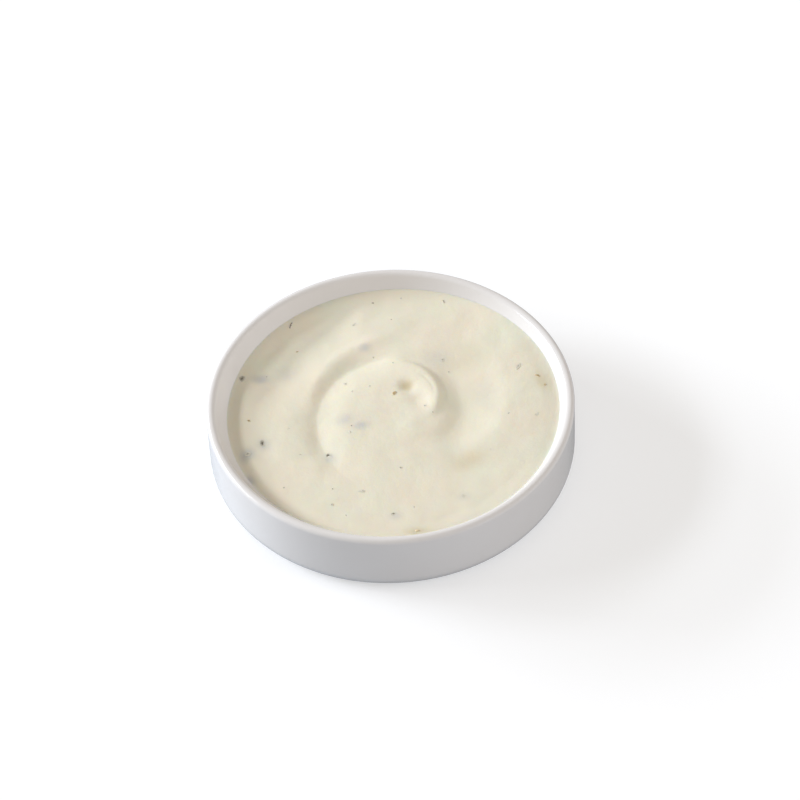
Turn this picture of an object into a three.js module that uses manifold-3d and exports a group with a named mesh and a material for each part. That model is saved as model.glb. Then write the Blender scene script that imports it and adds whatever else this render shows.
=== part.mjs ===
// A shallow round porcelain dish, filled nearly to its rim with ranch dressing. The dressing's top
// keeps the marks of the spoon that swirled it, and flakes of dried herb and pepper lie on it.
// Lengths are in millimetres, angles in degrees. +Z is up, and the origin is the middle of the
// dish's foot, on the surface that it stands on. +X is to the right and -Y is to the front.

import * as THREE from "three";
import { mergeVertices } from "three/addons/utils/BufferGeometryUtils.js";
import Module from "manifold-3d";

const { Vector2, Vector3, MathUtils } = THREE;
const { degToRad, radToDeg, smoothstep } = MathUtils;

const wasm = await Module();
wasm.setup();

// ---- Driving dimensions ----

const SIDES = 96; // facets round the dish, and round the dressing alike
const GAP = 0.3; // between the dressing and the dish

const DISH = {
  outerRadius: 50,
  height: 20,
  lipOuterRounding: 1.2,
  lipInnerRounding: 1.6,
  hollowRadius: 32.15, // of the round inside wall's section
  floorRadius: 20, // flat middle of the inside
  floorHeight: 4,
  footInnerRadius: 38,
  heelRounding: 5, // from the foot up to the straight outer wall
  recessDepth: 0.8, // of the underside, inside the foot
  recessFlare: 1.2,
};

const DRESSING = {
  drop: 3.85, // of its edge below the top of the rim
  edgeBand: 5, // width over which the top settles to the edge's own height
  tilt: 0.85, // rise of the edge at the right, and fall at the left
  smear: { at: 135, width: 20, height: 0.1 }, // where it clings higher on the wall
};

// Each stroke of the spoon runs round the middle, from one angle to another, while its distance from
// the middle goes from one radius to another, and bend says how late it does. Its section is a bump
// or, where the height is negative, a furrow, as wide inwards and outwards as width says, and with
// flanks that are the steeper the higher the flank power. It fades in and out over the fade angles.
const STROKES = {
  leftFurrow: {
    angles: [76, 262], radii: [19, 31], bend: 4, height: -1.15,
    width: [5, 3.8], flank: [1.5, 1.6], fade: [44, 60],
  },
  leftRidge: {
    angles: [78, 200], radii: [28.2, 20.4], bend: 0.75, height: 0.35,
    width: [3, 2.4], flank: [2, 2], fade: [28, 45],
  },
  scrape: {
    angles: [96, 184], radii: [38, 35], bend: 1, height: -1.1,
    width: [10.5, 5.5], flank: [2.2, 2], fade: [25, 38],
  },
  channel: {
    angles: [96, 170], radii: [43.5, 42], bend: 1, height: -0.9,
    width: [5.5, 9], flank: [2.4, 2], fade: [20, 28],
  },
  curl: {
    angles: [115, -30], radii: [17, 9], bend: 1.8, height: 1,
    width: [4.4, 1.9], flank: [1.6, 2.6], fade: [60, 45],
  },
  tailOfTheCurl: {
    angles: [20, -85], radii: [12, 8], bend: 0.8, height: 0.4,
    width: [4, 6], flank: [2, 2], fade: [30, 40],
  },
  rightFurrow: {
    angles: [62, -56], radii: [21, 18], bend: 1, height: -0.65,
    width: [3.4, 6], flank: [2, 2], fade: [28, 28],
  },
  rightSwell: {
    angles: [55, -50], radii: [38.5, 26], bend: 0.9, height: 0.6,
    width: [4.4, 14], flank: [2, 2], fade: [30, 40],
  },
};

// Broad rises and hollows: an ellipse of these half widths, turned, with a crown as flat as flank says.
const SWELLS = {
  mound: { at: [-1, -1], halves: [18.5, 21], turn: 0, flank: 1.4, height: 0.45 },
  crown: { at: [10, 5], halves: [13, 12], turn: 0, flank: 1, height: 0.35 },
  hollow: { at: [4.8, 8], halves: [2.1, 2.7], turn: 20, flank: 1.2, height: -0.6 },
  saddle: { at: [8.2, 1.8], halves: [2.8, 5.5], turn: 20, flank: 1.3, height: -0.4 },
  dimple: { at: [19, -20], halves: [4, 3], turn: 0, flank: 1, height: -0.25 },
  rightBank: { at: [48, 0], halves: [24, 44], turn: 0, flank: 1, height: 0.8 },
};

// The largest flakes, each where it lies: its middle, its length, its width and its turn.
const FLAKES = [
  { at: [-26.2, 34], length: 2.7, width: 0.9, turn: 84 },
  { at: [-40.2, 15.2], length: 2.3, width: 1.8, turn: 110 },
  { at: [-35.1, -9.3], length: 2.5, width: 1.2, turn: 105 },
  { at: [-17.3, -14.6], length: 2.1, width: 1.2, turn: 135 },
  { at: [-39, -12.9], length: 1.9, width: 1.4, turn: 20 },
  { at: [1.2, 5.6], length: 1.6, width: 1.2, turn: 70 },
  { at: [35.6, 12.4], length: 2.6, width: 0.9, turn: 65 },
  { at: [40.6, 8.7], length: 2.1, width: 1.2, turn: 150 },
  { at: [42.3, 5.4], length: 1.6, width: 1, turn: 60 },
  { at: [-8.8, -28.3], length: 2.1, width: 1, turn: 5 },
  { at: [15, 17.4], length: 1.4, width: 1, turn: 75 },
  { at: [-0.8, -36.9], length: 1.3, width: 0.9, turn: 30 },
  { at: [16.6, 39.4], length: 1.2, width: 0.9, turn: 95 },
  { at: [-3.2, 40.5], length: 1.2, width: 0.9, turn: 160 },
  { at: [39.4, -5.3], length: 1.5, width: 0.9, turn: 45 },
  { at: [18, -32.2], length: 1.5, width: 1, turn: 120 },
];

// The smaller flakes are spread evenly, as the seeds of a sunflower are.
const CRUMBS = { count: 9, spread: 40, clearance: 3.5, length: 0.95, width: 0.8, vary: 0.25 };
const GOLDEN_ANGLE = 137.508;
const GOLDEN_SHARE = 0.618034;

const FLAKE = { corners: 7, thickness: 0.45, proud: 0.2, ragged: 0.22 };

const WALL_STEPS = 8; // of the round inside wall, on the dish and the dressing
const TOP_RINGS = 27; // of the dressing's top

// ---- The dish ----

// Centre of the round inside wall's section.
const HOLLOW = new Vector2(DISH.floorRadius, DISH.floorHeight + DISH.hollowRadius);

/** Centre of the lip's inner rounding, which runs over smoothly into the inside wall. */
function lipCentre() {
  const z = DISH.height - DISH.lipInnerRounding;
  const reach = DISH.hollowRadius + DISH.lipInnerRounding;
  return new Vector2(HOLLOW.x + Math.sqrt(reach ** 2 - (HOLLOW.y - z) ** 2), z);
}

/** Points of an arc in a profile, without its first one. 0 points outwards and 90 upwards. */
function arc(x, z, radius, from, to, steps) {
  return Array.from({ length: steps }, (_, i) => {
    const angle = degToRad(MathUtils.lerp(from, to, (i + 1) / steps));
    return new Vector2(x + radius * Math.cos(angle), z + radius * Math.sin(angle));
  });
}

function dishProfile() {
  const { outerRadius, height, lipOuterRounding, lipInnerRounding } = DISH;
  const { heelRounding, recessDepth, footInnerRadius, recessFlare } = DISH;
  const heel = outerRadius - heelRounding;
  const lip = lipCentre();
  const lean = radToDeg(lip.clone().sub(HOLLOW).angle()) - 360;
  return [
    new Vector2(0, recessDepth),
    new Vector2(footInnerRadius - recessFlare, recessDepth),
    new Vector2(footInnerRadius, 0),
    new Vector2(heel, 0),
    ...arc(heel, heelRounding, heelRounding, -90, 0, 4),
    new Vector2(outerRadius, height - lipOuterRounding),
    ...arc(outerRadius - lipOuterRounding, height - lipOuterRounding, lipOuterRounding, 0, 90, 4),
    ...arc(lip.x, lip.y, lipInnerRounding, 90, 180 + lean, 4),
    ...arc(HOLLOW.x, HOLLOW.y, DISH.hollowRadius, lean, -90, WALL_STEPS + 1),
    new Vector2(0, DISH.floorHeight),
  ];
}

/** A profile turned about the dish's axis, which stands upright. */
function turned(profile) {
  return new THREE.LatheGeometry(profile, SIDES).rotateX(Math.PI / 2);
}

// ---- The dressing ----

/** Radius of the dressing's outside at a height on the round wall. */
function wallRadius(z) {
  const radius = DISH.hollowRadius - GAP;
  return HOLLOW.x + Math.sqrt(radius ** 2 - (HOLLOW.y - z) ** 2);
}

/** An angle brought within half a turn of another. */
function near(angle, target) {
  return target + MathUtils.euclideanModulo(angle - target + 180, 360) - 180;
}

function strokeHeight(stroke, radius, angle) {
  const [from, to] = stroke.angles;
  const share = (near(angle, (from + to) / 2) - from) / (to - from);
  const path = MathUtils.lerp(...stroke.radii, Math.max(share, 0) ** stroke.bend);
  const side = radius < path ? 0 : 1;
  const section = Math.exp(-((Math.abs(radius - path) / stroke.width[side]) ** stroke.flank[side]));
  const turn = Math.abs(to - from);
  const start = smoothstep(share * turn, 0, stroke.fade[0]);
  const end = smoothstep((1 - share) * turn, 0, stroke.fade[1]);
  return stroke.height * section * start * end;
}

function swellHeight(swell, x, y) {
  const offset = new Vector2(x - swell.at[0], y - swell.at[1]);
  offset.rotateAround(new Vector2(), degToRad(-swell.turn));
  const reach = (offset.x / swell.halves[0]) ** 2 + (offset.y / swell.halves[1]) ** 2;
  return swell.height * Math.exp(-(reach ** swell.flank));
}

/** How much higher or lower than its mean the dressing's edge meets the wall. */
function edgeRise(angle) {
  const { at, width, height } = DRESSING.smear;
  const smear = height * Math.exp(-(((near(angle, at) - at) / width) ** 2));
  return DRESSING.tilt * Math.cos(degToRad(angle)) + smear;
}

const LEVEL = DISH.height - DRESSING.drop;
const EDGE_RADIUS = wallRadius(LEVEL);

/** Height of the dressing's top over a point of the plan. */
function topHeight(x, y) {
  const radius = Math.hypot(x, y);
  const angle = radToDeg(Math.atan2(y, x));
  let swirl = 0;
  for (const stroke of Object.values(STROKES)) swirl += strokeHeight(stroke, radius, angle);
  for (const swell of Object.values(SWELLS)) swirl += swellHeight(swell, x, y);
  const edge = smoothstep(radius, EDGE_RADIUS - DRESSING.edgeBand, EDGE_RADIUS);
  return LEVEL + swirl * (1 - edge) + edgeRise(angle) * edge;
}

/** The dressing as it fills the dish: turned to a level top, which is then raised to the swirl. */
function dressingBody() {
  const floor = DISH.floorHeight + GAP;
  const radius = DISH.hollowRadius - GAP;
  const edgeAngle = -radToDeg(Math.acos((EDGE_RADIUS - HOLLOW.x) / radius));
  const wall = arc(HOLLOW.x, HOLLOW.y, radius, -90, edgeAngle, WALL_STEPS);
  const rings = Array.from({ length: TOP_RINGS }, (_, i) => {
    return new Vector2(EDGE_RADIUS * (1 - (i + 1) / TOP_RINGS), LEVEL);
  });
  const profile = [new Vector2(0, floor), new Vector2(HOLLOW.x, floor), ...wall, ...rings];
  const firstTop = profile.length - TOP_RINGS - 1;
  const body = turned(profile);
  const position = body.getAttribute("position");
  for (let i = 0; i < position.count; i += 1) {
    const row = i % profile.length;
    const x = position.getX(i);
    const y = position.getY(i);
    const edgeHeight = LEVEL + edgeRise(radToDeg(Math.atan2(y, x)));
    if (row >= firstTop) {
      const stretch = wallRadius(edgeHeight) / EDGE_RADIUS;
      position.setXYZ(i, x * stretch, y * stretch, topHeight(x, y));
    } else if (row > 1) {
      const z = MathUtils.mapLinear(position.getZ(i), floor, LEVEL, floor, edgeHeight);
      const stretch = wallRadius(z) / profile[row].x;
      position.setXYZ(i, x * stretch, y * stretch, z);
    }
  }
  return body;
}

/** The flakes that the rule spreads, except where one of the larger flakes already lies. */
function crumbs() {
  return Array.from({ length: CRUMBS.count }, (_, i) => {
    const radius = CRUMBS.spread * Math.sqrt((i + 0.5) / CRUMBS.count);
    const angle = degToRad(i * GOLDEN_ANGLE);
    const scale = 1 + CRUMBS.vary * (2 * ((i * GOLDEN_SHARE) % 1) - 1);
    return {
      at: [radius * Math.cos(angle), radius * Math.sin(angle)],
      length: CRUMBS.length * scale,
      width: CRUMBS.width * scale,
      turn: i * 2 * GOLDEN_ANGLE,
    };
  }).filter(({ at }) => {
    return FLAKES.every((flake) => Math.hypot(at[0] - flake.at[0], at[1] - flake.at[1]) > CRUMBS.clearance);
  });
}

/** A thin ragged flake, pressed into the dressing along the slope under it. */
function flakeGeometry({ at, length, width, turn }, index) {
  const corners = Array.from({ length: FLAKE.corners }, (_, i) => {
    const angle = (2 * Math.PI * i) / FLAKE.corners;
    const reach = 1 - FLAKE.ragged * (((index + 1) * (i + 1) * GOLDEN_SHARE) % 1);
    return new Vector2((length / 2) * reach * Math.cos(angle), (width / 2) * reach * Math.sin(angle));
  });
  const flake = new THREE.ExtrudeGeometry(new THREE.Shape(corners), {
    depth: FLAKE.thickness,
    bevelEnabled: false,
  });
  const [x, y] = at;
  const step = length / 2;
  const slope = new Vector3(
    topHeight(x - step, y) - topHeight(x + step, y),
    topHeight(x, y - step) - topHeight(x, y + step),
    2 * step,
  ).normalize();
  const tilt = new THREE.Quaternion().setFromUnitVectors(new Vector3(0, 0, 1), slope);
  return flake
    .translate(0, 0, FLAKE.proud - FLAKE.thickness)
    .rotateZ(degToRad(turn))
    .applyQuaternion(tilt)
    .translate(x, y, topHeight(x, y));
}

// ---- Joining ----

/** A closed geometry as a solid that can be joined to others. */
function toSolid(geometry) {
  const bare = geometry.clone();
  bare.deleteAttribute("normal");
  bare.deleteAttribute("uv");
  const merged = mergeVertices(bare, 1e-4);
  const vertProperties = new Float32Array(merged.getAttribute("position").array);
  const triVerts = new Uint32Array(merged.index.array);
  return new wasm.Manifold(new wasm.Mesh({ numProp: 3, vertProperties, triVerts }));
}

function toGeometry(solid) {
  const { vertProperties, triVerts } = solid.getMesh();
  const geometry = new THREE.BufferGeometry();
  geometry.setAttribute("position", new THREE.BufferAttribute(vertProperties, 3));
  geometry.setIndex(new THREE.BufferAttribute(triVerts, 1));
  geometry.computeVertexNormals();
  return geometry;
}

function dressingWithFlakes() {
  const flakes = [...FLAKES, ...crumbs()].map(flakeGeometry).map(toSolid);
  return toGeometry(flakes.reduce((whole, flake) => whole.add(flake), toSolid(dressingBody())));
}

// ---- The part ----

const porcelain = new THREE.MeshStandardMaterial({ color: 0xf2f0ee, roughness: 0.22, metalness: 0 });
const cream = new THREE.MeshStandardMaterial({ color: 0xe9e3cf, roughness: 0.4, metalness: 0 });

function named(name, geometry, material) {
  const mesh = new THREE.Mesh(geometry, material);
  mesh.name = name;
  return mesh;
}

const group = new THREE.Group();
group.add(named("bowl", turned(dishProfile()), porcelain));
group.add(named("dressing", dressingWithFlakes(), cream));

export default group;
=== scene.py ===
"""A shallow porcelain dish of ranch dressing, finished for the camera.

The dish is turned from its profile. The dressing's top is a swirl of spoon strokes, with dried herb,
cracked pepper and bits of spice pressed a little into it. Plan places and small sizes are given in
millimetres, and every mesh is in metres. +X is to the right, -Y to the front and +Z up.
"""

import logging
import math
from collections.abc import Mapping, Sequence
from dataclasses import dataclass, field
from enum import Enum

import bmesh
import bpy
import numpy as np
from mathutils import Matrix, Vector


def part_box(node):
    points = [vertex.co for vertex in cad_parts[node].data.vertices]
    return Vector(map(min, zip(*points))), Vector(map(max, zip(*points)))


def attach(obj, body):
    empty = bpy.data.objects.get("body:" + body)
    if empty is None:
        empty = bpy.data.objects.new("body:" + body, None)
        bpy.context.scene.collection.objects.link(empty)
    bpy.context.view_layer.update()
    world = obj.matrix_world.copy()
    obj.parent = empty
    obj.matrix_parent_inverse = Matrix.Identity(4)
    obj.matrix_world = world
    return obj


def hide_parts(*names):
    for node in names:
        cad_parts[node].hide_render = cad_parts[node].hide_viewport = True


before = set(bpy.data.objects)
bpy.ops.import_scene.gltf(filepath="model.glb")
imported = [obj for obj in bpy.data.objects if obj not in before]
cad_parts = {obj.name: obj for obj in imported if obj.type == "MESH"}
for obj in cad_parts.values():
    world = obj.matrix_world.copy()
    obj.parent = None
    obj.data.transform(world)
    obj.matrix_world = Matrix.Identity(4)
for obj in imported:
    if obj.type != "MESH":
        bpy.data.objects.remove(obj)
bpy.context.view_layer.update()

log = logging.getLogger("dip_dish")

MM = 0.001
ROOT_BODY = "root"
GOLDEN_ANGLE = 137.508
GOLDEN_SHARE = 0.618034
NOISE_MIDDLE = 0.5
NOISE_SPREAD = 0.25
STILL_RADIUS = 0.01
MERGE_DISTANCE = 2e-6
CURL_SIZE = 1.0 / 450.0
CURL_SEED_SHIFT = 40.0

Array = np.ndarray
Pair = tuple[float, float]
Triple = tuple[float, float, float]
Colour = tuple[float, float, float, float]
Material = bpy.types.Material
Mesh = bpy.types.Mesh
Node = bpy.types.Node
Object = bpy.types.Object
Socket = bpy.types.NodeSocket
Tree = bpy.types.NodeTree
Input = Socket | float | int | tuple[float, ...]
Inputs = dict[str | int, Input]


# ---- Small helpers ----


def smoothstep(value: Array, low: float, high: float) -> Array:
    """Eases from 0 at low to 1 at high, level at both ends."""
    share = np.clip((value - low) / (high - low), 0.0, 1.0)
    return share * share * (3.0 - 2.0 * share)


def near(angle: Array, target: float) -> Array:
    """Brings angles within half a turn of a target, in degrees."""
    return target + (angle - target + 180.0) % 360.0 - 180.0


def srgb(red: int, green: int, blue: int) -> Colour:
    """Turns a colour as it looks on a screen, 0 to 255, into a linear one."""
    shares = (channel / 255.0 for channel in (red, green, blue))
    linear = [s / 12.92 if s <= 0.04045 else ((s + 0.055) / 1.055) ** 2.4 for s in shares]
    return (*linear, 1.0)


def arc(centre: Pair, radius: float, angles: Pair, steps: int) -> list[Pair]:
    """Points of an arc in a profile, without its first one.

    Args:
        centre: Distance from the axis and height of the arc's centre.
        radius: Radius of the arc.
        angles: First and last angle in degrees; 0 points outwards and 90 upwards.
        steps: Number of points.

    Returns:
        The points, as distances from the axis and heights.
    """
    turns = np.radians(np.linspace(*angles, steps + 1)[1:])
    return [(centre[0] + radius * math.cos(t), centre[1] + radius * math.sin(t)) for t in turns]


def join_to_scene(name: str, data: bpy.types.ID) -> Object:
    """Makes an object of a mesh, a camera or a lamp, at the origin and unturned."""
    made = bpy.data.objects.new(name, data)
    bpy.context.scene.collection.objects.link(made)
    return made


def store(mesh: Mesh, label: str, values: Array) -> None:
    """Stores a number or a vector for each vertex, as a named attribute."""
    kind, field_name = ("FLOAT", "value") if values.ndim == 1 else ("FLOAT_VECTOR", "vector")
    attribute = mesh.attributes.new(label, kind, "POINT")
    attribute.data.foreach_set(field_name, values.astype(np.float32).ravel())


def face_outwards(mesh: Mesh) -> None:
    """Turns the faces of closed shells outwards."""
    work = bmesh.new()
    work.from_mesh(mesh)
    bmesh.ops.recalc_face_normals(work, faces=work.faces)
    work.to_mesh(mesh)
    work.free()


def bake_modifier(carrier: Object, name: str) -> Object:
    """Turns what an object's modifiers make into a plain mesh object, and drops the carrier.

    Args:
        carrier: The object with live modifiers.
        name: Name of the finished piece.

    Returns:
        The finished piece.
    """
    graph = bpy.context.evaluated_depsgraph_get()
    mesh = bpy.data.meshes.new_from_object(carrier.evaluated_get(graph), depsgraph=graph)
    mesh.name = name
    bpy.data.objects.remove(carrier)
    return join_to_scene(name, mesh)


def hand_over(piece: Object, slot: str, *nodes: str) -> None:
    """Lets a piece ride on the body, hides the nodes that it stands for, and logs its triangles, finish
    slot and those nodes.
    """
    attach(piece, ROOT_BODY)
    if nodes:
        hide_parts(*nodes)
    triangles = sum(len(face.vertices) - 2 for face in piece.data.polygons)
    log.info("%s: %d triangles, slot %s, stands for %s", piece.name, triangles, slot, nodes or "no node")


class Wiring:
    """Places nodes in a tree and joins them, so that a recipe reads from top to bottom."""

    def __init__(self, tree: Tree) -> None:
        """Starts with the tree that the nodes go into."""
        self.tree = tree

    def add(self, kind: str, inputs: Inputs | None = None, **settings: object) -> Node:
        """Adds a node.

        Args:
            kind: The node's type.
            inputs: Sockets to join and values to set, by socket name or number.
            **settings: The node's own properties.

        Returns:
            The new node.
        """
        node = self.tree.nodes.new(kind)
        for name, value in settings.items():
            setattr(node, name, value)
        self.feed(node, inputs or {})
        return node

    def feed(self, node: Node, inputs: Inputs) -> None:
        """Joins sockets to a node's inputs, and sets the inputs that get a plain value."""
        for name, value in inputs.items():
            if isinstance(value, Socket):
                self.tree.links.new(value, node.inputs[name])
            else:
                node.inputs[name].default_value = value

    def out(self, kind: str, inputs: Inputs | None = None, **settings: object) -> Socket:
        """Adds a node as above and gives its first output."""
        return self.add(kind, inputs, **settings).outputs[0]

    def maths(self, operation: str, *values: Input) -> Socket:
        """Adds a sum on numbers and gives its result."""
        return self.out("ShaderNodeMath", dict(enumerate(values)), operation=operation)

    def vector_maths(self, operation: str, *values: Input) -> Socket:
        """Adds a sum on vectors and gives its result."""
        return self.out("ShaderNodeVectorMath", dict(enumerate(values)), operation=operation)

    def scaled(self, vector: Input, scale: Input) -> Socket:
        """Makes a vector longer or shorter and gives it."""
        return self.out("ShaderNodeVectorMath", {0: vector, "Scale": scale}, operation="SCALE")

    def length(self, vector: Input) -> Socket:
        """Gives the length of a vector."""
        return self.add("ShaderNodeVectorMath", {0: vector}, operation="LENGTH").outputs["Value"]

    def mix(self, share: Input, first: Input, second: Input) -> Socket:
        """Mixes two colours and gives the result."""
        return self.add("ShaderNodeMix", {0: share, 6: first, 7: second}, data_type="RGBA").outputs[2]

    def ramp(self, value: Input, low: float, high: float, to: Pair = (0.0, 1.0)) -> Socket:
        """Maps a value from low..high onto another range, smoothly and without going past it."""
        inputs: Inputs = {0: value, 1: low, 2: high, 3: to[0], 4: to[1]}
        return self.out("ShaderNodeMapRange", inputs, interpolation_type="SMOOTHSTEP")


def new_group(name: str, kind: str, inputs: dict[str, float | int | str],
              outputs: dict[str, str]) -> tuple[Wiring, Mapping[str, Socket], Node]:
    """Starts a node group with named sockets.

    Args:
        name: Name of the group.
        kind: Type of the tree.
        inputs: First value of each input by name, or its kind where it has no value of its own.
        outputs: Kind of each output by name.

    Returns:
        The group's wiring, the sockets that it is given by name, and its output node.
    """
    tree = bpy.data.node_groups.new(name, kind)
    for label, value in inputs.items():
        plain = value if isinstance(value, str) else type(value).__name__.capitalize()
        socket = tree.interface.new_socket(label, in_out="INPUT", socket_type="NodeSocket" + plain)
        if not isinstance(value, str):
            socket.default_value = value
    for label, plain in outputs.items():
        tree.interface.new_socket(label, in_out="OUTPUT", socket_type="NodeSocket" + plain)
    wiring = Wiring(tree)
    return wiring, wiring.add("NodeGroupInput").outputs, wiring.add("NodeGroupOutput")


# ---- The swirl ----


@dataclass(frozen=True)
class Stroke:
    """A stroke of the spoon: a bump or a furrow that runs round the middle.

    It runs from one angle to another while its distance from the middle goes from one radius to
    another, and bend says how late it does. Its section is as wide inwards and outwards as width
    says, with flanks that are the steeper the higher the flank power. It fades in and out over the
    fade angles. Lengths are in millimetres and angles in degrees.
    """

    angles: Pair
    radii: Pair
    bend: float
    height: float
    width: Pair
    flank: Pair
    fade: Pair

    def rise(self, radius: Array, angle: Array) -> Array:
        """Height that the stroke adds at points given by radius and angle."""
        start, end = self.angles
        share = (near(angle, (start + end) / 2.0) - start) / (end - start)
        path = self.radii[0] + (self.radii[1] - self.radii[0]) * np.maximum(share, 0.0) ** self.bend
        inside = radius < path
        width = np.where(inside, *self.width)
        flank = np.where(inside, *self.flank)
        section = np.exp(-((np.abs(radius - path) / width) ** flank))
        turn = abs(end - start)
        first = smoothstep(share * turn, 0.0, self.fade[0])
        last = smoothstep((1.0 - share) * turn, 0.0, self.fade[1])
        return self.height * section * first * last


@dataclass(frozen=True)
class Swell:
    """A broad rise or hollow: a turned ellipse with a crown as flat as flank says."""

    at: Pair
    halves: Pair
    turn: float
    flank: float
    height: float

    def rise(self, x: Array, y: Array) -> Array:
        """Height that the swell adds at points of the plan."""
        turn = math.radians(self.turn)
        dx = x - self.at[0]
        dy = y - self.at[1]
        along = (dx * math.cos(turn) + dy * math.sin(turn)) / self.halves[0]
        across = (dy * math.cos(turn) - dx * math.sin(turn)) / self.halves[1]
        return self.height * np.exp(-((along**2 + across**2) ** self.flank))


@dataclass(frozen=True)
class Ripples:
    """Faint unevenness of a thick cream: waves of a few lengths that run every way."""

    count: int = 26
    lengths: Pair = (4.5, 15.0)
    height: float = 0.016
    seed: int = 7

    def rise(self, x: Array, y: Array) -> Array:
        """Height of the unevenness at points of the plan."""
        draw = np.random.default_rng(self.seed)
        total = np.zeros_like(x)
        for _ in range(self.count):
            length = draw.uniform(*self.lengths)
            heading, phase = draw.uniform(0.0, 2.0 * math.pi, 2)
            run = x * math.cos(heading) + y * math.sin(heading)
            total += np.sin(2.0 * math.pi * run / length + phase) * length / self.lengths[1]
        return self.height * total


@dataclass(frozen=True)
class Swirl:
    """The dressing's top as the spoon left it."""

    strokes: dict[str, Stroke] = field(default_factory=lambda: {
        "left furrow": Stroke((76, 262), (19.0, 31.0), 4.0, -1.15, (5.0, 3.8), (1.5, 1.6), (44, 60)),
        "left ridge": Stroke((78, 200), (28.2, 20.4), 0.75, 0.35, (3.0, 2.4), (2, 2), (28, 45)),
        "scrape": Stroke((96, 184), (38.0, 35.0), 1.0, -1.1, (10.5, 5.5), (2.2, 2), (25, 38)),
        "channel": Stroke((96, 170), (43.5, 42.0), 1.0, -0.9, (5.5, 9.0), (2.4, 2), (20, 28)),
        "curl": Stroke((115, -30), (17.0, 9.0), 1.8, 1.0, (4.4, 1.9), (1.6, 2.6), (60, 45)),
        "tail of the curl": Stroke((20, -85), (12.0, 8.0), 0.8, 0.4, (4.0, 6.0), (2, 2), (30, 40)),
        "right furrow": Stroke((62, -56), (21.0, 18.0), 1.0, -0.65, (3.4, 6.0), (2, 2), (28, 28)),
        "right swell": Stroke((55, -50), (38.5, 26.0), 0.9, 0.6, (4.4, 14.0), (2, 2), (30, 40)),
        "crease of the curl": Stroke((64, 5), (14.4, 11.4), 1.7, -0.1, (0.5, 0.6), (2, 2), (20, 30)),
    })
    swells: dict[str, Swell] = field(default_factory=lambda: {
        "mound": Swell((-1.0, -1.0), (18.5, 21.0), 0.0, 1.4, 0.45),
        "crown": Swell((10.0, 5.0), (13.0, 12.0), 0.0, 1.0, 0.35),
        "hollow": Swell((4.8, 8.0), (2.1, 2.7), 20.0, 1.2, -0.6),
        "saddle": Swell((8.2, 1.8), (2.8, 5.5), 20.0, 1.3, -0.4),
        "dimple": Swell((19.0, -20.0), (4.0, 3.0), 0.0, 1.0, -0.25),
        "right bank": Swell((48.0, 0.0), (24.0, 44.0), 0.0, 1.0, 0.8),
    })
    ripples: Ripples = Ripples()

    def rise(self, x: Array, y: Array) -> Array:
        """Height of the swirl over the dressing's level, at points of the plan."""
        radius = np.hypot(x, y)
        angle = np.degrees(np.arctan2(y, x))
        total = self.ripples.rise(x, y)
        for stroke in self.strokes.values():
            total = total + stroke.rise(radius, angle)
        for swell in self.swells.values():
            total = total + swell.rise(x, y)
        return total


# ---- Shared shader groups ----


def clouding_group() -> Tree:
    """Builds the group that gives soft cloudy masks, for colours that drift over a surface."""
    wiring, given, result = new_group(
        "clouding", "ShaderNodeTree",
        {"Vector": "Vector", "Size": 0.01, "Shift": 0.0, "Hardness": 0.3}, {"Mask": "Float"})
    frequency = wiring.maths("DIVIDE", 1.0, given["Size"])
    moved = wiring.vector_maths("ADD", given["Vector"], given["Shift"])
    noise = wiring.out("ShaderNodeTexNoise", {"Vector": moved, "Scale": frequency, "Detail": 2.0})
    softness = wiring.maths("SUBTRACT", 1.0, given["Hardness"])
    half = wiring.maths("MULTIPLY", softness, NOISE_SPREAD)
    low = wiring.maths("SUBTRACT", NOISE_MIDDLE, half)
    high = wiring.maths("ADD", NOISE_MIDDLE, half)
    mask = wiring.out("ShaderNodeMapRange", {0: noise, 1: low, 2: high})
    wiring.feed(result, {"Mask": mask})
    return wiring.tree


def fine_relief_group() -> Tree:
    """Builds the group that gives the height of a skin finer than the mesh: a coarse and a fine grain."""
    wiring, given, result = new_group(
        "fine relief", "ShaderNodeTree",
        {"Vector": "Vector", "Coarse": 0.002, "Fine": 0.0005, "Fine Share": 0.3}, {"Height": "Float"})
    grains = []
    for size in ("Coarse", "Fine"):
        frequency = wiring.maths("DIVIDE", 1.0, given[size])
        place = given["Vector"]
        grains.append(wiring.out("ShaderNodeTexNoise", {"Vector": place, "Scale": frequency}))
    share = wiring.maths("MULTIPLY", grains[1], given["Fine Share"])
    wiring.feed(result, {"Height": wiring.maths("ADD", grains[0], share)})
    return wiring.tree


# ---- Finishes ----


class Coat(Wiring):
    """The wiring of a material that has one Principled shader, with the shared groups."""

    def __init__(self, name: str) -> None:
        """Makes the bare material, and reads places on the piece from its object coordinates."""
        self.material = bpy.data.materials.new(name)
        self.material.use_nodes = True
        super().__init__(self.material.node_tree)
        self.shader = self.tree.nodes["Principled BSDF"]
        self.place = self.add("ShaderNodeTexCoord").outputs["Object"]

    def clouds(self, size: float, shift: float, hardness: float) -> Socket:
        """Places the clouding group and gives its mask."""
        tree = bpy.data.node_groups.get("clouding") or clouding_group()
        inputs: Inputs = {"Vector": self.place, "Size": size, "Shift": shift, "Hardness": hardness}
        return self.out("ShaderNodeGroup", inputs, node_tree=tree)

    def skin(self, coarse: float, fine: float, fine_share: float, depth: float) -> None:
        """Gives the shader the fine relief, as deep as depth says."""
        tree = bpy.data.node_groups.get("fine relief") or fine_relief_group()
        inputs: Inputs = {"Vector": self.place, "Coarse": coarse, "Fine": fine, "Fine Share": fine_share}
        height = self.out("ShaderNodeGroup", inputs, node_tree=tree)
        bump = self.out("ShaderNodeBump", {"Height": height, "Distance": depth})
        self.feed(self.shader, {"Normal": bump})

    def attribute(self, label: str) -> Socket:
        """Reads a number that is stored on the mesh."""
        return self.add("ShaderNodeAttribute", attribute_name=label).outputs["Fac"]


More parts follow.
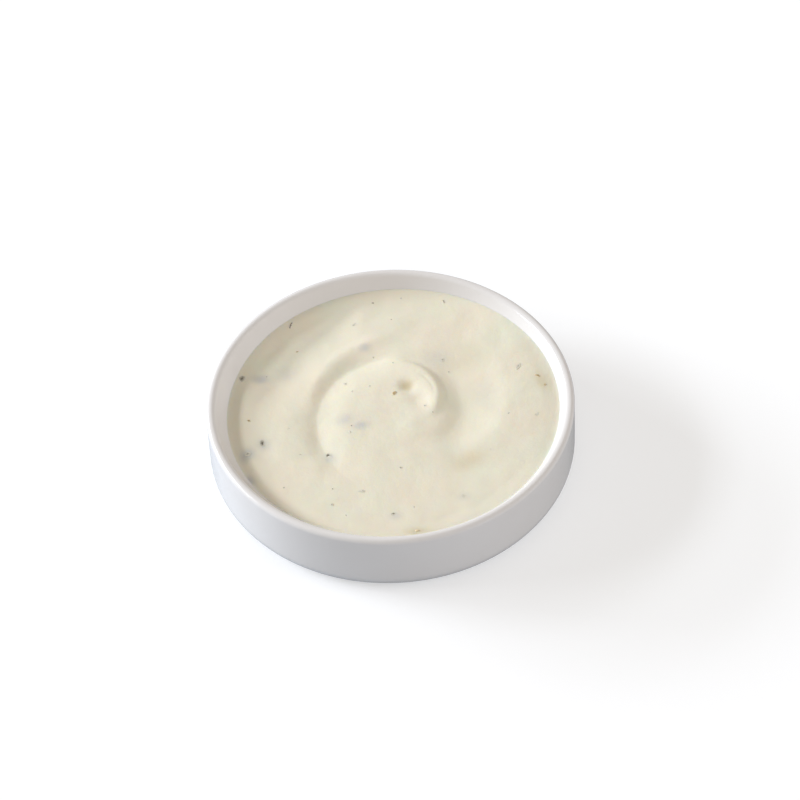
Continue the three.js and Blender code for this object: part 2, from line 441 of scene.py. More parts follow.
@dataclass(frozen=True)
class Finish:
    """What every finish has: the name of its material, and a way to paint it."""

    name: str

    def paint(self, coat: Coat) -> None:
        """Places the nodes that are the finish's own."""
        raise NotImplementedError

    def material(self) -> Material:
        """Builds the material."""
        coat = Coat(self.name)
        self.paint(coat)
        return coat.material


@dataclass(frozen=True)
class GlazedPorcelain(Finish):
    """White porcelain under a clear glaze, bare where the foot stands."""

    name: str = "glazed porcelain"
    glaze: Colour = srgb(227, 226, 227)
    pooled: Colour = srgb(224, 222, 222)
    bare: Colour = srgb(226, 220, 208)
    bare_grain: Colour = srgb(206, 197, 182)
    foot_height: float = 0.00035
    foot_radii: Pair = (0.0372, 0.0462)
    foot_edge: float = 0.0004
    roughness: Pair = (0.1, 0.17)
    bare_roughness: float = 0.55

    def foot_mask(self, coat: Coat) -> Socket:
        """Marks the ring that the dish stands on, where the glaze was wiped off."""
        inner, outer = self.foot_radii
        axes = coat.add("ShaderNodeSeparateXYZ", {0: coat.place}).outputs
        radius = coat.length(coat.out("ShaderNodeCombineXYZ", {0: axes[0], 1: axes[1]}))
        low = coat.ramp(axes[2], self.foot_height * 0.5, self.foot_height, (1.0, 0.0))
        past_inner = coat.ramp(radius, inner - self.foot_edge, inner)
        before_outer = coat.ramp(radius, outer, outer + self.foot_edge, (1.0, 0.0))
        ring = coat.maths("MULTIPLY", past_inner, before_outer)
        return coat.maths("MULTIPLY", low, ring)

    def paint(self, coat: Coat) -> None:
        """Places the glaze and the bare foot."""
        foot = self.foot_mask(coat)
        drift = coat.clouds(size=0.03, shift=0.0, hardness=0.0)
        glazed = coat.mix(drift, self.glaze, self.pooled)
        grain = coat.clouds(size=0.0008, shift=3.0, hardness=0.4)
        clay = coat.mix(coat.maths("MULTIPLY", grain, 0.25), self.bare, self.bare_grain)
        breath = coat.clouds(size=0.012, shift=5.0, hardness=0.1)
        gloss = coat.ramp(breath, 0.0, 1.0, self.roughness)
        dull = coat.maths("MULTIPLY", foot, self.bare_roughness)
        coat.feed(coat.shader, {
            "Base Color": coat.mix(foot, glazed, clay),
            "Roughness": coat.maths("ADD", gloss, dull),
            "IOR": 1.5})
        coat.skin(coarse=0.006, fine=0.0012, fine_share=0.08, depth=0.00006)


@dataclass(frozen=True)
class CreamyDressing(Finish):
    """Thick ivory cream that light sinks into, with herbs showing greyish through it."""

    name: str = "creamy dressing"
    ivory: Colour = srgb(232, 227, 209)
    greenish: Colour = srgb(226, 228, 211)
    rosy: Colour = srgb(232, 223, 207)
    herb_below: Colour = srgb(176, 180, 188)
    # Tan of spice under the cream; the same tan is also painted shade in the curl's hollow, in the dimple
    # and on one slope.
    spice_below: Colour = srgb(192, 174, 124)
    greenish_share: float = 0.8
    rosy_share: float = 0.6
    roughness: Pair = (0.5, 0.6)
    scatter_depth: float = 0.0006
    scatter_colours: Triple = (1.0, 0.72, 0.42)

    def paint(self, coat: Coat) -> None:
        """Places the cream, the herbs and spice that show through it, and a tan tint that is partly
        painted shade.
        """
        drift = coat.clouds(size=0.014, shift=11.0, hardness=0.2)
        blush = coat.clouds(size=0.011, shift=23.0, hardness=0.2)
        cream = coat.mix(coat.maths("MULTIPLY", drift, self.greenish_share), self.ivory, self.greenish)
        cream = coat.mix(coat.maths("MULTIPLY", blush, self.rosy_share), cream, self.rosy)
        # The spice tint is partly painted shade, laid in hollows and on a slope.
        for label, tint in (("herb_below", self.herb_below), ("spice_below", self.spice_below)):
            mask = coat.attribute(label)
            cream = coat.mix(mask, cream, tint)
        gloss = coat.clouds(size=0.009, shift=31.0, hardness=0.1)
        coat.feed(coat.shader, {
            "Base Color": cream,
            "Roughness": coat.ramp(gloss, 0.0, 1.0, self.roughness),
            "IOR": 1.42,
            "Specular IOR Level": 0.3,
            "Subsurface Weight": 0.45,
            "Subsurface Radius": self.scatter_colours,
            "Subsurface Scale": self.scatter_depth})
        coat.skin(coarse=0.0022, fine=0.0007, fine_share=0.2, depth=0.00009)


@dataclass(frozen=True)
class DriedBits(Finish):
    """Dried bits of one kind, darkest in their middle and veiled with cream towards their rim.

    Each bit's own shade says how far cream covers it: 0 is bare and 1 is nearly covered.
    """

    dark: Colour
    light: Colour
    veil: Colour = srgb(214, 211, 197)
    veil_reach: Pair = (0.45, 1.55)
    shade_share: float = 0.9
    veins_share: float = 0.4
    roughness: Pair = (0.34, 0.54)
    grain: float = 0.0003

    def paint(self, coat: Coat) -> None:
        """Places the bit and its veil of cream."""
        shade = coat.attribute("shade")
        rim = coat.attribute("rim")
        veins = coat.clouds(size=self.grain, shift=2.0, hardness=0.1)
        bare = coat.mix(veins, self.dark, self.light)
        ragged = coat.maths("MULTIPLY_ADD", veins, self.veins_share, rim)
        cover = coat.maths("MULTIPLY_ADD", shade, self.shade_share, ragged)
        veiled = coat.ramp(cover, *self.veil_reach)
        coat.feed(coat.shader, {
            "Base Color": coat.mix(veiled, bare, self.veil),
            "Roughness": coat.ramp(veins, 0.0, 1.0, self.roughness)})
        coat.skin(coarse=self.grain, fine=self.grain / 3.0, fine_share=0.4, depth=0.00008)


@dataclass(frozen=True)
class WhitePaper(Finish):
    """The pale sheet under the dish: white to look at, but it throws back less light than it shows."""

    name: str = "white paper"
    shown: Colour = (0.58, 0.595, 0.62, 1.0)
    glow: float = 0.45
    thrown_back: Colour = (0.50, 0.55, 0.61, 1.0)
    fibre_shade: float = 0.99

    def paint(self, coat: Coat) -> None:
        """Places the sheet as it is seen and as it lights the dish."""
        fibre = coat.clouds(size=0.002, shift=1.0, hardness=0.0)
        darker = (*(self.fibre_shade * channel for channel in self.shown[:3]), 1.0)
        coat.feed(coat.shader, {
            "Base Color": coat.mix(fibre, self.shown, darker),
            "Roughness": 0.9,
            "Specular IOR Level": 0.1,
            "Emission Color": (1.0, 1.0, 1.0, 1.0),
            "Emission Strength": self.glow})
        plain = coat.out("ShaderNodeBsdfDiffuse", {"Color": self.thrown_back})
        seen = coat.add("ShaderNodeLightPath").outputs["Is Camera Ray"]
        mixed = coat.out("ShaderNodeMixShader", {0: seen, 1: plain, 2: coat.shader.outputs[0]})
        output = next(node for node in coat.tree.nodes if node.type == "OUTPUT_MATERIAL")
        coat.feed(output, {"Surface": mixed})


# ---- Geometry Nodes ----


def dress(wiring: Wiring, geometry: Socket, smooth: bool, material: Socket) -> Socket:
    """Shades a mesh smooth or flat, puts the material on it and gives it."""
    shaded = wiring.out("GeometryNodeSetShadeSmooth", {"Geometry": geometry, "Shade Smooth": smooth})
    return wiring.out("GeometryNodeSetMaterial", {"Geometry": shaded, "Material": material})


def add_tree(carrier: Object, tree: Tree, values: dict[str, object]) -> None:
    """Puts a Geometry Nodes tree on an object, with its named inputs set."""
    modifier = carrier.modifiers.new(tree.name, "NODES")
    modifier.node_group = tree
    for label, value in values.items():
        modifier[tree.interface.items_tree[label].identifier] = value


# ---- The dish ----


def turning_tree() -> Tree:
    """Builds the Geometry Nodes tree that turns a row of profile points about the upright axis.

    The points lie in the XZ plane. The glaze's waver moves the wall inwards by a little, and fades
    out within the still radius round the axis.
    """
    wiring, given, result = new_group(
        "turned on a wheel", "GeometryNodeTree",
        {"Geometry": "Geometry", "Sides": 96, "Waver": 0.0, "Waver Size": 0.04, "Seed": 1,
         "Material": "Material"},
        {"Geometry": "Geometry"})
    profile = given["Geometry"]
    rows = wiring.add("GeometryNodeAttributeDomainSize", {"Geometry": profile}).outputs["Point Count"]
    columns = wiring.maths("ADD", given["Sides"], 1)
    grid = wiring.out("GeometryNodeMeshGrid", {"Vertices X": columns, "Vertices Y": rows})
    index = wiring.out("GeometryNodeInputIndex")
    row = wiring.maths("MODULO", index, rows)
    column = wiring.maths("FLOOR", wiring.maths("DIVIDE", index, rows))
    profile_point = {"Geometry": profile, "Index": row}
    sampled = wiring.add("GeometryNodeSampleIndex", profile_point, data_type="FLOAT_VECTOR")
    value = next(socket for socket in sampled.inputs if socket.name == "Value" and socket.enabled)
    wiring.tree.links.new(wiring.out("GeometryNodeInputPosition"), value)
    point = wiring.add("ShaderNodeSeparateXYZ", {0: sampled.outputs[0]})
    radius = point.outputs[0]
    angle = wiring.maths("DIVIDE", wiring.maths("MULTIPLY", column, 2.0 * math.pi), given["Sides"])
    cosine = wiring.maths("COSINE", angle)
    sine = wiring.maths("SINE", angle)
    bare = wiring.out("ShaderNodeCombineXYZ", {
        0: wiring.maths("MULTIPLY", radius, cosine),
        1: wiring.maths("MULTIPLY", radius, sine),
        2: point.outputs[2]})
    noise = wiring.out("ShaderNodeTexNoise", {
        "Vector": bare, "W": given["Seed"],
        "Scale": wiring.maths("DIVIDE", 1.0, given["Waver Size"])}, noise_dimensions="4D")
    inwards = wiring.maths("SUBTRACT", noise, NOISE_MIDDLE + NOISE_SPREAD)
    waver = wiring.maths("MULTIPLY", inwards, given["Waver"])
    outwards = wiring.out("ShaderNodeCombineXYZ", {0: cosine, 1: sine})
    off_axis = wiring.maths("MINIMUM", wiring.maths("DIVIDE", radius, STILL_RADIUS), 1.0)
    offset = wiring.scaled(outwards, wiring.maths("MULTIPLY", waver, off_axis))
    moved = wiring.vector_maths("ADD", bare, offset)
    turned = wiring.out("GeometryNodeSetPosition", {"Geometry": grid, "Position": moved})
    closed = wiring.out("GeometryNodeMergeByDistance", {"Geometry": turned, "Distance": MERGE_DISTANCE})
    wiring.feed(result, {"Geometry": dress(wiring, closed, True, given["Material"])})
    return wiring.tree


@dataclass(frozen=True)
class Dish:
    """The porcelain dish: straight outer wall, rounded heel, soft lip and a round-bottomed inside.

    Lengths are in millimetres. The outer radius and the height come from the frame.
    """

    outer_radius: float
    height: float
    lip_outer_rounding: float = 1.2
    lip_inner_rounding: float = 1.6
    hollow_radius: float = 32.15
    floor_radius: float = 20.0
    floor_height: float = 4.0
    foot_inner_radius: float = 38.0
    heel_rounding: float = 5.0
    recess_depth: float = 0.8
    recess_flare: float = 1.6
    recess_rounding: float = 0.6
    foot_edge: Pair = (0.3, 0.06)
    heel_flat: float = 0.6
    sides: int = 288
    waver: float = 0.1
    waver_size: float = 35.0
    seed: int = 4

    @classmethod
    def from_frame(cls) -> "Dish":
        """Takes the outer size from the solid that the dish stands for."""
        low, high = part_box("bowl")
        return cls(outer_radius=(high.x - low.x) / 2.0 / MM, height=high.z / MM)

    @property
    def hollow_centre(self) -> Pair:
        """Centre of the round inside wall's section."""
        return self.floor_radius, self.floor_height + self.hollow_radius

    @property
    def lip_centre(self) -> Pair:
        """Centre of the lip's inner rounding, which runs over smoothly into the inside wall."""
        across, up = self.hollow_centre
        height = self.height - self.lip_inner_rounding
        reach = self.hollow_radius + self.lip_inner_rounding
        return across + math.sqrt(reach * reach - (up - height) ** 2), height

    def inside_radius(self, height: Array) -> Array:
        """Radius of the inside at heights on the round wall."""
        across, up = self.hollow_centre
        return across + np.sqrt(self.hollow_radius**2 - (up - height) ** 2)

    def profile(self) -> list[Pair]:
        """Half section of the dish, from the underside's middle round to the floor's middle."""
        heel = self.outer_radius - self.heel_rounding
        lip = self.outer_radius - self.lip_outer_rounding
        lip_height = self.height - self.lip_outer_rounding
        across, up = self.hollow_centre
        inner = self.lip_centre
        lean = math.degrees(math.atan2(inner[1] - up, inner[0] - across))
        recess = self.foot_inner_radius - self.recess_flare
        rounding = self.recess_rounding
        edge_width, edge_height = self.foot_edge
        return [
            (0.0, self.recess_depth),
            (self.foot_inner_radius * 0.5, self.recess_depth),
            (recess, self.recess_depth),
            *arc((recess, self.recess_depth - rounding), rounding, (90, 35), 5),
            (self.foot_inner_radius - edge_width, edge_height),
            (self.foot_inner_radius, 0.0),
            (heel - self.heel_flat, 0.0),
            *arc((heel, self.heel_rounding), self.heel_rounding, (-90, 0), 14),
            *[(self.outer_radius, h) for h in np.linspace(self.heel_rounding, lip_height, 14)[1:]],
            *arc((lip, lip_height), self.lip_outer_rounding, (0, 90), 12),
            (inner[0], self.height),
            *arc(inner, self.lip_inner_rounding, (90, 180 + lean), 12),
            *arc((across, up), self.hollow_radius, (lean, -90), 44),
            (self.floor_radius * 0.5, self.floor_height),
            (0.0, self.floor_height),
        ]

    def build(self, finish: GlazedPorcelain) -> None:
        """Turns the dish, gives it its finish and hands it over."""
        points = [(x * MM, 0.0, z * MM) for x, z in self.profile()]
        row = bpy.data.meshes.new("dish profile")
        row.from_pydata(points, [(i, i + 1) for i in range(len(points) - 1)], [])
        carrier = join_to_scene("dish profile", row)
        add_tree(carrier, turning_tree(), {
            "Sides": self.sides, "Waver": self.waver * MM, "Waver Size": self.waver_size * MM,
            "Seed": self.seed, "Material": finish.material()})
        dish = bake_modifier(carrier, "porcelain_dish")
        face_outwards(dish.data)
        hand_over(dish, "porcelain", "bowl")


# ---- The dressing ----


@dataclass(frozen=True)
class SunkBit:
    """A soft patch of tint in the cream: mostly a bit that lies wholly in it and shows through, but some
    spice-coloured patches are painted shade.
    """

    at: Pair
    radius: float
    strength: float
    stretch: float = 1.0
    turn: float = 0.0

    def mask(self, x: Array, y: Array) -> Array:
        """How much the patch shows at points of the plan, from 0 to its strength."""
        patch = Swell(self.at, (self.radius * self.stretch, self.radius), self.turn, 1.2, self.strength)
        return patch.rise(x, y)


HERBS_BELOW = (
    SunkBit((-35.2, 14.8), 1.7, 0.5, 1.4, 0.0),
    SunkBit((-6.2, 23.6), 1.4, 0.45, 1.2, 20.0),
    SunkBit((-8.2, -5.2), 1.5, 0.48, 1.4, 10.0),
    SunkBit((-12.4, -2.6), 2.0, 0.28, 1.5, 10.0),
    SunkBit((-28.0, 16.0), 2.4, 0.18, 1.2, 60.0),
    SunkBit((13.0, 18.0), 3.0, 0.2, 1.3, 0.0),
    SunkBit((-39.2, -13.2), 2.0, 0.55, 1.2, 80.0),
    SunkBit((-38.8, -22.0), 1.3, 0.6, 1.5, 120.0),
    SunkBit((-17.0, -15.6), 1.6, 0.35, 1.2, 120.0),
    SunkBit((-34.8, -9.8), 1.9, 0.35, 1.3, 110.0),
    SunkBit((-0.2, -37.6), 1.5, 0.3, 1.2, 0.0),
    SunkBit((26.0, 3.0), 3.4, 0.12, 1.4, 90.0),
    SunkBit((18.4, -32.4), 1.6, 0.22, 1.3, 0.0),
)

# Spice under the cream near the front edge and round the orange bits; the patches at the dimple (20.6,
# -19.8), in the curl's hollow (4.9, 8.3) and on the slope up and right of the curl (23.0, 18.0) are
# painted shade.
SPICE_AND_PAINTED_SHADE_PATCHES = (
    SunkBit((20.6, -19.8), 3.2, 0.3, 1.6, 20.0),
    SunkBit((4.9, 8.3), 1.7, 0.6, 1.1, 30.0),
    SunkBit((41.6, 6.6), 2.2, 0.3, 1.6, 110.0),
    SunkBit((23.0, 18.0), 5.0, 0.15, 1.3, 60.0),
    SunkBit((5.2, -43.4), 1.4, 0.35, 2.4, 0.0),
)


@dataclass(frozen=True)
class Dressing:
    """The dressing, as it fills the dish up to a little under the rim. Lengths are in millimetres."""

    dish: Dish
    swirl: Swirl = Swirl()
    drop: float = 3.85
    edge_band: float = 5.0
    tilt: float = 0.85
    smear_at: float = 135.0
    smear_width: float = 20.0
    smear_height: float = 0.1
    cling_height: float = 0.2
    cling_width: float = 0.8
    into_wall: float = 0.04
    floor_gap: float = 0.05
    sides: int = 440
    rings: int = 190
    edge_rings: int = 14
    wall_rows: int = 10
    herbs_below: tuple[SunkBit, ...] = HERBS_BELOW
    spices_below: tuple[SunkBit, ...] = SPICE_AND_PAINTED_SHADE_PATCHES

    @property
    def level(self) -> float:
        """Mean height at which the dressing meets the wall."""
        return self.dish.height - self.drop

    @property
    def edge_radius(self) -> float:
        """Radius of the dressing's edge at its mean level."""
        return float(self.dish.inside_radius(np.array(self.level)))

    @property
    def floor(self) -> float:
        """Height of the dressing's underside, a little above the dish's floor."""
        return self.dish.floor_height + self.floor_gap

    def edge_rise(self, angle: Array) -> Array:
        """How much higher or lower than its mean the edge meets the wall, by angle."""
        smear = np.exp(-(((near(angle, self.smear_at) - self.smear_at) / self.smear_width) ** 2))
        return self.tilt * np.cos(np.radians(angle)) + self.smear_height * smear

    def top(self, x: Array, y: Array) -> Array:
        """Height of the dressing's top over points of the plan."""
        radius = np.hypot(x, y)
        edge = smoothstep(radius, self.edge_radius - self.edge_band, self.edge_radius)
        rise = self.edge_rise(np.degrees(np.arctan2(y, x)))
        return self.level + self.swirl.rise(x, y) * (1.0 - edge) + rise * edge

    def normal(self, x: float, y: float, reach: float = 0.8) -> Vector:
        """Direction that the top faces at a point, taken over a short reach."""
        east, west = self.top(np.array([x + reach, x - reach]), np.array([y, y]))
        north, south = self.top(np.array([x, x]), np.array([y + reach, y - reach]))
        return Vector((west - east, south - north, 2.0 * reach)).normalized()

    def ring_shares(self) -> Array:
        """Radii of the top's rings as shares of the edge's, from the edge inwards, closer at the edge."""
        band = self.cling_width * 2.0 / self.edge_radius
        at_edge = np.linspace(1.0, 1.0 - band, self.edge_rings, endpoint=False)
        inner = np.linspace(1.0 - band, 0.0, self.rings, endpoint=False)
        return np.concatenate([at_edge, inner])

    def rows(self) -> Array:
        """All vertices but the two poles, row by row up the wall and then inwards over the top."""
        angles = np.linspace(0.0, 360.0, self.sides, endpoint=False)
        cosines = np.cos(np.radians(angles))
        sines = np.sin(np.radians(angles))
        edge_height = self.level + self.edge_rise(angles) + self.cling_height
        rows = []
        for share in np.linspace(0.0, 1.0, self.wall_rows) ** 2:
            height = self.floor + (edge_height - self.floor) * share
            radius = self.dish.inside_radius(height) + self.into_wall * (share > 0.5)
            rows.append(np.stack([radius * cosines, radius * sines, height], -1))
        edge_radius = self.dish.inside_radius(edge_height) + self.into_wall
        for share in self.ring_shares()[1:]:
            flat = share * self.edge_radius
            radius = share * edge_radius
            height = self.top(flat * cosines, flat * sines)
            cling = self.cling_height * np.exp(-(edge_radius - radius) / self.cling_width * 2.0)
            rows.append(np.stack([radius * cosines, radius * sines, height + cling], -1))
        return np.array(rows)

    def mesh(self) -> Mesh:
        """Builds the closed mesh, with the masks of what shows through it; the spice mask also carries
        painted shade.
        """
        rows = self.rows()
        count = len(rows)
        ring = np.arange(self.sides)
        following = (ring + 1) % self.sides
        faces: list[tuple[int, ...]] = []
        for row in range(count - 1):
            low = row * self.sides
            high = low + self.sides
            faces += zip(low + ring, low + following, high + following, high + ring)
        bottom = count * self.sides
        top = bottom + 1
        last = (count - 1) * self.sides
        faces += zip(following, ring, np.full(self.sides, bottom))
        faces += zip(last + ring, last + following, np.full(self.sides, top))
        middle = float(self.top(np.zeros(1), np.zeros(1))[0])
        poles = np.array([[0.0, 0.0, self.floor], [0.0, 0.0, middle]])
        points = np.concatenate([rows.reshape(-1, 3), poles])
        mesh = bpy.data.meshes.new("ranch_dressing")
        mesh.from_pydata((points * MM).tolist(), [], [tuple(map(int, face)) for face in faces])
        mesh.polygons.foreach_set("use_smooth", np.ones(len(mesh.polygons), bool))
        on_top = np.arange(len(points)) >= (self.wall_rows - 1) * self.sides
        # The spice mask carries painted shade as well as spice under the cream.
        for label, bits in (("herb_below", self.herbs_below), ("spice_below", self.spices_below)):
            mask = np.zeros(len(points))
            for bit in bits:
                mask = np.maximum(mask, bit.mask(points[:, 0], points[:, 1]))
            store(mesh, label, mask * on_top)
        return mesh

    def build(self, finish: CreamyDressing) -> None:
        """Builds the dressing, gives it its finish and hands it over."""
        mesh = self.mesh()
        mesh.materials.append(finish.material())
        hand_over(join_to_scene("ranch_dressing", mesh), "dressing", "dressing")


# ---- Herb, pepper and spice ----


class Shape(Enum):
    """What a bit is like before it is bent and torn."""

    FLAKE = "flat flake"
    GRAIN = "cracked grain"


@dataclass(frozen=True)
class Bit:
    """One bit on the dressing: its middle, length, width and turn, and how far cream covers it."""

    at: Pair
    length: float
    width: float
    turn: float
    shade: float = 0.3


def scatter_tree(shape: Shape) -> Tree:
    """Builds the Geometry Nodes tree that sets one bit on each point and makes each a ragged one.

    Args:
        shape: What the bits are like.

    Returns:
        The tree. Its points carry the attributes turn, size and shade.
    """
    wiring, given, result = new_group(
        f"scattered {shape.value}", "GeometryNodeTree",
        {"Geometry": "Geometry", "Corners": 9, "Tear": 0.0003, "Tear Size": 0.001, "Curl": 0.0002,
         "Seed": 1, "Material": "Material"},
        {"Geometry": "Geometry"})
    if shape is Shape.FLAKE:
        base = wiring.out("GeometryNodeMeshCylinder", {
            "Vertices": given["Corners"], "Side Segments": 1, "Fill Segments": 3,
            "Radius": 0.5, "Depth": 1.0}, fill_type="TRIANGLE_FAN")
    else:
        base = wiring.out("GeometryNodeMeshIcoSphere", {"Radius": 0.5, "Subdivisions": 2})
    place = wiring.out("GeometryNodeInputPosition")
    rim = wiring.length(wiring.vector_maths("MULTIPLY", place, (2.0, 2.0, 0.0)))
    base = wiring.out("GeometryNodeStoreNamedAttribute", {"Geometry": base, "Name": "rim", "Value": rim})
    turn, size = (
        wiring.out("GeometryNodeInputNamedAttribute", {"Name": name}, data_type="FLOAT_VECTOR")
        for name in ("turn", "size"))
    copies = wiring.out("GeometryNodeInstanceOnPoints", {
        "Points": given["Geometry"], "Instance": base,
        "Rotation": wiring.out("FunctionNodeEulerToRotation", {0: turn}), "Scale": size})
    bent = wiring.out("GeometryNodeRealizeInstances", {"Geometry": copies})
    tear = (given["Tear"], given["Tear Size"], 0.0, (2.0, 2.0, 0.6))
    curl = (given["Curl"], CURL_SIZE, CURL_SEED_SHIFT, (2.0, 2.0, 2.0))
    for reach, grain, shift, spread in (tear, curl):
        noise = wiring.add("ShaderNodeTexNoise", {
            "Vector": place, "W": wiring.maths("ADD", given["Seed"], shift),
            "Scale": wiring.maths("DIVIDE", 1.0, grain), "Detail": 1.0}, noise_dimensions="4D")
        centred = wiring.vector_maths("SUBTRACT", noise.outputs["Color"], (NOISE_MIDDLE,) * 3)
        move = wiring.scaled(wiring.vector_maths("MULTIPLY", centred, spread), reach)
        bent = wiring.out("GeometryNodeSetPosition", {"Geometry": bent, "Offset": move})
    dressed = dress(wiring, bent, shape is Shape.GRAIN, given["Material"])
    wiring.feed(result, {"Geometry": dressed})
    return wiring.tree


@dataclass(frozen=True)
class Sprinkling:
    """All bits of one kind, pressed a little into the dressing. Lengths are in millimetres."""

    name: str
    shape: Shape
    bits: tuple[Bit, ...]
    finish: DriedBits
    thickness: float
    proud: float
    tear: float
    curl: float
    lean: float
    seed: int
    tear_size: float = 0.9
    corners: int = 9

    def carrier(self, dressing: Dressing) -> Object:
        """Makes the points that the bits are set on, with each bit's size, turn and shade."""
        draw = np.random.default_rng(self.seed)
        places, sizes, turns = [], [], []
        for bit in self.bits:
            x, y = bit.at
            normal = dressing.normal(x, y)
            thickness = self.thickness * min(1.0, 0.5 + bit.width / 3.0)
            height = float(dressing.top(np.array(x), np.array(y))) + self.proud - thickness / 2.0
            tilt = Vector((0.0, 0.0, 1.0)).rotation_difference(normal).to_matrix()
            lean = Matrix.Rotation(math.radians(draw.normal(0.0, self.lean)), 3, "X")
            turn = Matrix.Rotation(math.radians(bit.turn), 3, "Z")
            places.append((x * MM, y * MM, height * MM))
            sizes.append((bit.length * MM, bit.width * MM, thickness * MM))
            turns.append(tuple((tilt @ turn @ lean).to_euler()))
        mesh = bpy.data.meshes.new(self.name + " places")
        mesh.from_pydata(places, [], [])
        shades = [bit.shade for bit in self.bits]
        for label, values in (("size", sizes), ("turn", turns), ("shade", shades)):
            store(mesh, label, np.array(values))
        return join_to_scene(mesh.name, mesh)

    def build(self, dressing: Dressing) -> None:
        """Scatters the bits over the dressing, gives them their finish and hands them over."""
        carrier = self.carrier(dressing)
        add_tree(carrier, scatter_tree(self.shape), {
            "Corners": self.corners, "Tear": self.tear * MM, "Tear Size": self.tear_size * MM,
            "Curl": self.curl * MM, "Seed": self.seed, "Material": self.finish.material()})
        hand_over(bake_modifier(carrier, self.name), "dressing")


HERB_FLAKES = (
    Bit((-26.2, 34.0), 2.7, 1.1, 84, 0.0),
    Bit((-40.2, 15.2), 2.3, 1.8, 110, 0.45),
    Bit((-35.1, -9.3), 2.5, 1.2, 105, 0.25),
    Bit((-17.3, -14.6), 2.1, 1.2, 135, 0.35),
    Bit((-39.0, -12.9), 1.9, 1.4, 20, 0.7),
    Bit((35.6, 12.4), 2.6, 0.9, 65, 0.75),
    Bit((-8.8, -28.3), 2.1, 1.0, 5, 0.9),
    Bit((15.0, 17.4), 1.4, 1.0, 75, 0.85),
    Bit((-0.8, -36.9), 1.3, 0.9, 30, 0.25),
    Bit((16.6, 39.4), 1.2, 0.8, 95, 0.7),
    Bit((-3.2, 40.5), 1.2, 0.9, 160, 0.2),
    Bit((39.4, -5.3), 1.5, 0.9, 45, 0.85),
    Bit((18.0, -32.2), 1.5, 1.0, 120, 0.95),
)

SPICE_BITS = (
    Bit((1.2, 5.6), 1.6, 1.2, 70, 0.25),
    Bit((40.6, 8.7), 2.1, 1.2, 150, 0.25),
    Bit((42.3, 5.4), 1.6, 1.0, 60, 0.4),
    Bit((5.2, -43.2), 1.3, 0.7, 10, 0.9),
    Bit((-24.8, 24.7), 0.7, 0.5, 0, 0.3),
    Bit((-38.6, -1.0), 1.3, 0.65, 140, 0.1),
)

SPECK_PLACES: tuple[Pair, ...] = (
    (1.6, 33.8), (-4.0, 20.2), (1.4, 16.7), (-10.2, 7.6), (-5.3, 9.0), (15.0, 17.4), (16.4, 13.0),
    (11.4, -2.6), (31.8, -4.5), (-25.0, -14.1), (-10.8, -5.1), (-11.3, -7.3), (-29.6, -25.7),
    (-16.6, -27.0), (-13.4, -36.5), (4.8, -35.0), (4.6, 41.6), (-33.4, 15.8),
)


def speck_bits(length: float = 0.62, width: float = 0.48) -> tuple[Bit, ...]:
    """Turns the places of the single specks into bits of slightly uneven size."""
    bits = []
    for i, place in enumerate(SPECK_PLACES):
        share = (i * GOLDEN_SHARE) % 1.0
        scale = 0.75 + 0.5 * share
        bits.append(Bit(place, length * scale, width * scale, i * GOLDEN_ANGLE, share))
    return tuple(bits)


def crumb_bits(count: int = 9, spread: float = 40.0, clearance: float = 3.5, length: float = 0.95,
               width: float = 0.7, vary: float = 0.25, covered: float = 0.6) -> tuple[Bit, ...]:
    """Spreads the smaller flakes evenly, as the seeds of a sunflower are, clear of the larger ones."""
    larger = [*HERB_FLAKES, *SPICE_BITS[:3]]
    bits = []
    for i in range(count):
        radius = spread * math.sqrt((i + 0.5) / count)
        angle = math.radians(i * GOLDEN_ANGLE)
        place = (radius * math.cos(angle), radius * math.sin(angle))
        share = (i * GOLDEN_SHARE) % 1.0
        scale = 1.0 + vary * (2.0 * share - 1.0)
        if all(math.dist(place, bit.at) > clearance for bit in larger):
            shade = covered + (1.0 - covered) * share
            bits.append(Bit(place, length * scale, width * scale, i * 2.0 * GOLDEN_ANGLE, shade))
    return tuple(bits)


def sprinklings() -> tuple[Sprinkling, ...]:
    """The three kinds of bits on the dressing."""
    herb = DriedBits("dried herb", dark=srgb(48, 44, 32), light=srgb(104, 100, 84))
    pepper = DriedBits("cracked pepper", dark=srgb(66, 54, 42), light=srgb(116, 98, 80))
    spice = DriedBits("spice", dark=srgb(112, 92, 54), light=srgb(188, 160, 104), veil=srgb(226, 210, 176))
    return (
        Sprinkling("herb_flakes", Shape.FLAKE, (*HERB_FLAKES, *crumb_bits()), herb,
                   thickness=0.3, proud=0.05, tear=0.55, curl=0.12, lean=6.0, seed=3),
        Sprinkling("pepper_specks", Shape.GRAIN, speck_bits(), pepper,
                   thickness=0.34, proud=0.07, tear=0.16, curl=0.0, lean=20.0, seed=5),
        Sprinkling("spice_bits", Shape.GRAIN, SPICE_BITS, spice,
                   thickness=0.5, proud=0.15, tear=0.4, curl=0.1, lean=12.0, seed=9),
    )


# ---- Studio ----


def facing_middle(azimuth: float, elevation: float, distance: float) -> Matrix:
    """Gives the place and turn of a camera or lamp that faces the middle. Angles are in degrees."""
    turn = Matrix.Rotation(math.radians(azimuth + 90.0), 4, "Z")
    lean = Matrix.Rotation(math.radians(90.0 - elevation), 4, "X")
    return turn @ lean @ Matrix.Translation((0.0, 0.0, distance))


@dataclass(frozen=True)
class Camera:
    """The view of the dish from above its front, slightly rolled, aimed at the rim's middle."""

    aim_height: float
    elevation: float = 47.9
    roll: float = 3.22
    distance: float = 1.0
    lens: float = 166.2
    shift: Pair = (0.0125, 0.0008)

    def place(self) -> None:
        """Makes the camera and sets it on the scene."""
        data = bpy.data.cameras.new("camera")
        data.lens = self.lens
        data.shift_x, data.shift_y = self.shift
        camera = join_to_scene("camera", data)
        aim = Matrix.Translation((0.0, 0.0, self.aim_height))
        roll = Matrix.Rotation(math.radians(-self.roll), 4, "Z")
        camera.matrix_world = aim @ facing_middle(-90.0, self.elevation, self.distance) @ roll
        bpy.context.scene.camera = camera


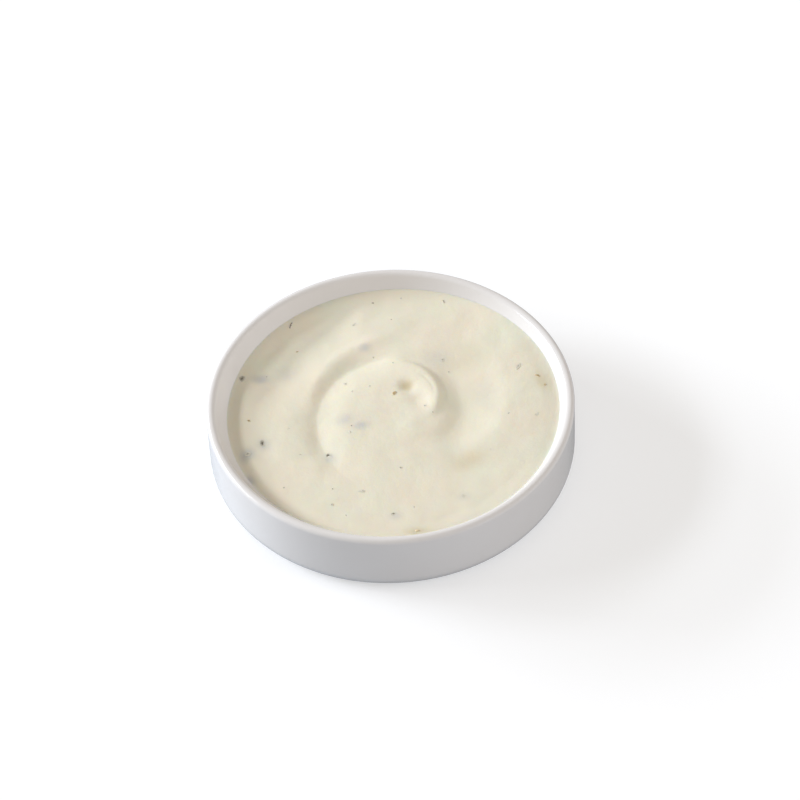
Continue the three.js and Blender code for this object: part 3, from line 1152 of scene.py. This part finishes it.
@dataclass(frozen=True)
class Lamp:
    """A soft box lamp, aimed at the dish. Angles are in degrees, sizes in metres, power in watts.

    A lamp that isn't in the gloss lights the dish without being mirrored in the glaze.
    """

    name: str
    azimuth: float
    elevation: float
    width: float
    height: float
    power: float
    colour: Triple
    distance: float = 2.6
    in_gloss: bool = True

    def place(self) -> None:
        """Makes the lamp."""
        data = bpy.data.lights.new(self.name, "AREA")
        data.shape = "RECTANGLE"
        data.size = self.width
        data.size_y = self.height
        data.energy = self.power
        data.color = self.colour
        lamp = join_to_scene(self.name, data)
        lamp.matrix_world = facing_middle(self.azimuth, self.elevation, self.distance)
        lamp.visible_glossy = self.in_gloss


@dataclass(frozen=True)
class Studio:
    """A white sheet under an even sky, with windows on the left and weak lights right and in front."""

    floor_half: float = 3.0
    sky: Colour = (1.0, 0.91, 0.79, 1.0)
    sky_strength: float = 0.42
    lamps: tuple[Lamp, ...] = (
        Lamp("low window", azimuth=154.0, elevation=15.5, width=1.3, height=0.3, power=59.5,
             colour=(0.9, 0.94, 0.99)),
        Lamp("high window", azimuth=168.0, elevation=27.0, width=1.4, height=0.35, power=35.5,
             colour=(0.9, 0.94, 0.99)),
        Lamp("right fill", azimuth=-15.0, elevation=22.0, width=1.4, height=1.4, power=21.0,
             colour=(1.0, 0.98, 0.98), in_gloss=False),
        Lamp("front fill", azimuth=-75.0, elevation=30.0, width=1.4, height=1.4, power=9.0,
             colour=(0.95, 0.95, 1.0), in_gloss=False),
    )

    def build(self) -> None:
        """Makes the floor, the sky and the lamps, and sets plain colour handling."""
        half = self.floor_half
        mesh = bpy.data.meshes.new("floor")
        corners = [(-half, -half, 0.0), (half, -half, 0.0), (half, half, 0.0), (-half, half, 0.0)]
        mesh.from_pydata(corners, [], [(0, 1, 2, 3)])
        mesh.materials.append(WhitePaper().material())
        join_to_scene("floor", mesh)
        world = bpy.data.worlds.new("sky")
        world.use_nodes = True
        sky = world.node_tree.nodes["Background"]
        sky.inputs["Color"].default_value = self.sky
        sky.inputs["Strength"].default_value = self.sky_strength
        scene = bpy.context.scene
        scene.world = world
        scene.view_settings.view_transform = "Standard"
        scene.view_settings.look = "None"
        for lamp in self.lamps:
            lamp.place()


def main() -> None:
    """Builds the pieces in order, and then the studio round them."""
    logging.basicConfig(level=logging.INFO, format="%(name)s: %(message)s")
    dish = Dish.from_frame()
    Camera(aim_height=dish.height * MM).place()
    dish.build(GlazedPorcelain())
    dressing = Dressing(dish)
    dressing.build(CreamyDressing())
    for sprinkling in sprinklings():
        sprinkling.build(dressing)
    Studio().build()


if __name__ == "__main__":
    main()
